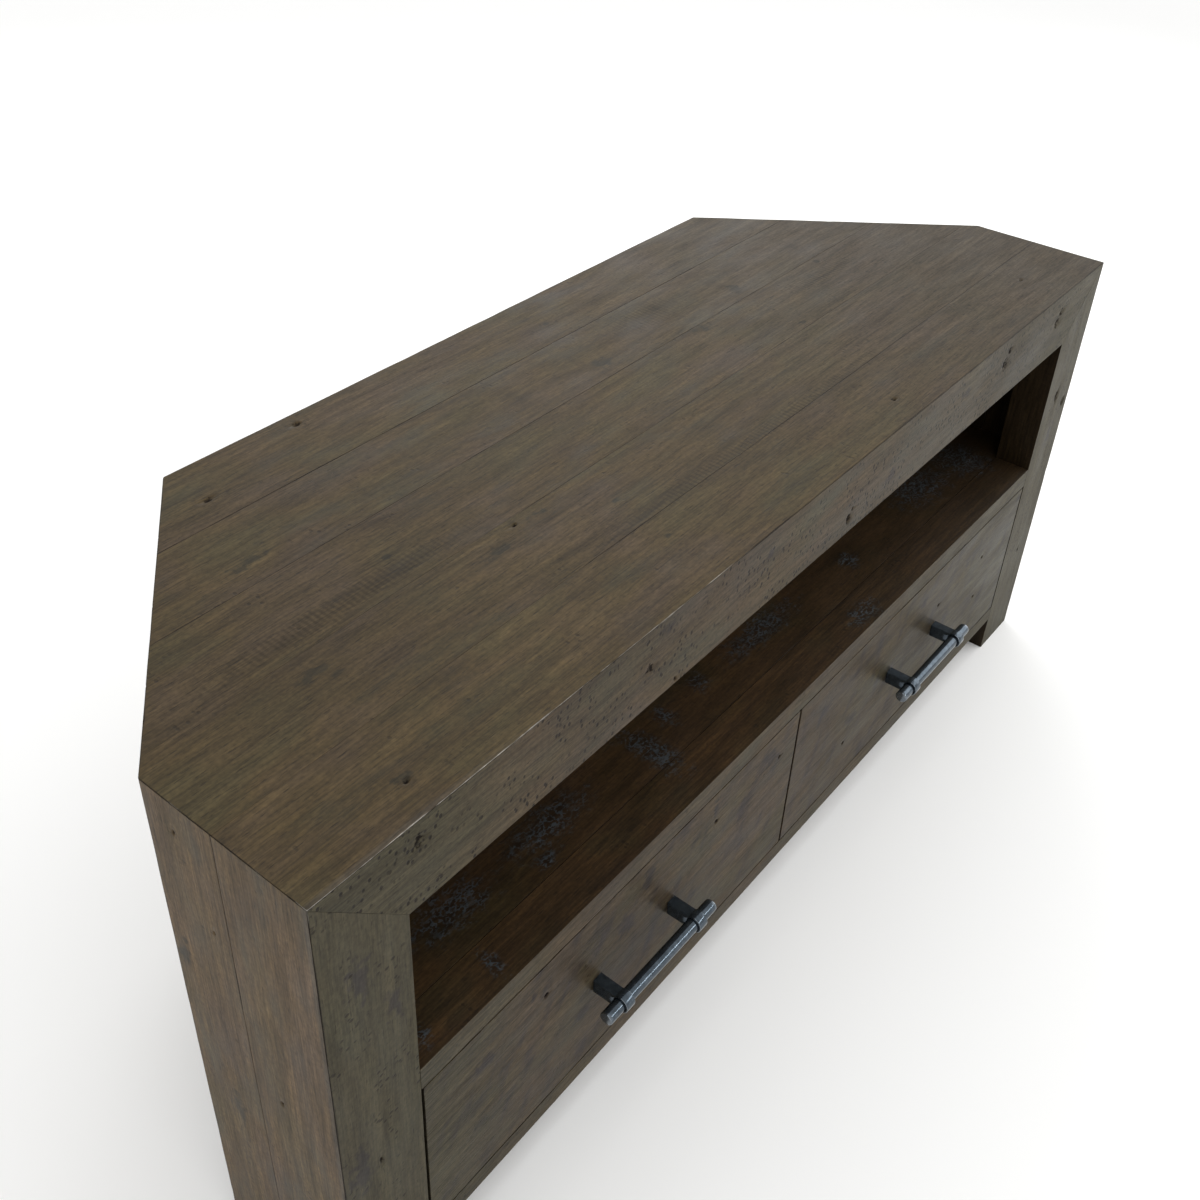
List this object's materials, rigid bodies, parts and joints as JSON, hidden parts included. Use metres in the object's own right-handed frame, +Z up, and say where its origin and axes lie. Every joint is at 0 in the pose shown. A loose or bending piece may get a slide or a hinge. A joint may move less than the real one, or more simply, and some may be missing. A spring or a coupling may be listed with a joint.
{
  "type": "corner media cabinet",
  "caption": "Corner television cabinet with chamfered rear corners, an open media bay over side-by-side inset drawers and bar handles.",
  "frame": {"origin": "on the floor, below the centre of the whole object's box, handles included", "axes": "+X along the front, to the right seen from the front; +Y to the back; +Z up; the front with its drawers faces -Y"},
  "size_m": [1.13, 0.4354, 0.5],
  "materials": {
    "stained_timber": "grey-brown stained pine planks, satin",
    "bay_timber": "darker brown stained pine, matt",
    "raw_timber": "plain sanded pine",
    "plywood": "stained plywood, matt",
    "blackened_iron": "blackened, waxed and mottled",
    "zinc_steel": "bright zinc plate"
  },
  "bodies": {
    "case": {"back_panel": "plywood", "bottom_panel": "plywood", "bottom_rail": "stained_timber", "drawer_divider": "raw_timber", "front_top_rail": "stained_timber", "left_chamfer_cleat": "raw_timber", "left_chamfer_panel": "stained_timber", "left_drawer_guide": "raw_timber", "left_drawer_in_stop": "raw_timber", "left_drawer_kicker": "raw_timber", "left_drawer_out_stop": "raw_timber", "left_rear_foot": "stained_timber", "left_shelf_cleat": "raw_timber", "left_side_board_front": "stained_timber", "left_side_board_rear": "stained_timber", "left_stile": "stained_timber", "left_top_cleat": "raw_timber", "rear_shelf_cleat": "raw_timber", "right_chamfer_cleat": "raw_timber", "right_chamfer_panel": "stained_timber", "right_drawer_guide": "raw_timber", "right_drawer_in_stop": "raw_timber", "right_drawer_kicker": "raw_timber", "right_drawer_out_stop": "raw_timber", "right_rear_foot": "stained_timber", "right_shelf_cleat": "raw_timber", "right_side_board_front": "stained_timber", "right_side_board_rear": "stained_timber", "right_stile": "stained_timber", "right_top_cleat": "raw_timber", "shelf_front_rail": "stained_timber", "shelf_plank_1": "bay_timber", "shelf_plank_2": "bay_timber", "shelf_plank_3": "bay_timber", "shelf_plank_4": "bay_timber", "top_plank_1": "stained_timber", "top_plank_2": "stained_timber", "top_plank_3": "stained_timber", "top_plank_4": "stained_timber", "top_plank_5": "stained_timber"},
    "left_drawer": {"left_drawer_back": "raw_timber", "left_drawer_bottom": "plywood", "left_drawer_front": "stained_timber", "left_drawer_side_inner": "raw_timber", "left_drawer_side_outer": "raw_timber", "left_handle_bar": "blackened_iron", "left_handle_post_left": "blackened_iron", "left_handle_post_right": "blackened_iron", "left_handle_screw_left": "zinc_steel", "left_handle_screw_right": "zinc_steel"},
    "right_drawer": {"right_drawer_back": "raw_timber", "right_drawer_bottom": "plywood", "right_drawer_front": "stained_timber", "right_drawer_side_inner": "raw_timber", "right_drawer_side_outer": "raw_timber", "right_handle_bar": "blackened_iron", "right_handle_post_left": "blackened_iron", "right_handle_post_right": "blackened_iron", "right_handle_screw_left": "zinc_steel", "right_handle_screw_right": "zinc_steel"}
  },
  "joints": [
    {"name": "left_drawer_slide", "type": "slide", "parent": "case", "child": "left_drawer", "axis": [0, -1, 0], "range_m": [0, 0.14]},
    {"name": "right_drawer_slide", "type": "slide", "parent": "case", "child": "right_drawer", "axis": [0, -1, 0], "range_m": [0, 0.14]}
  ]
}
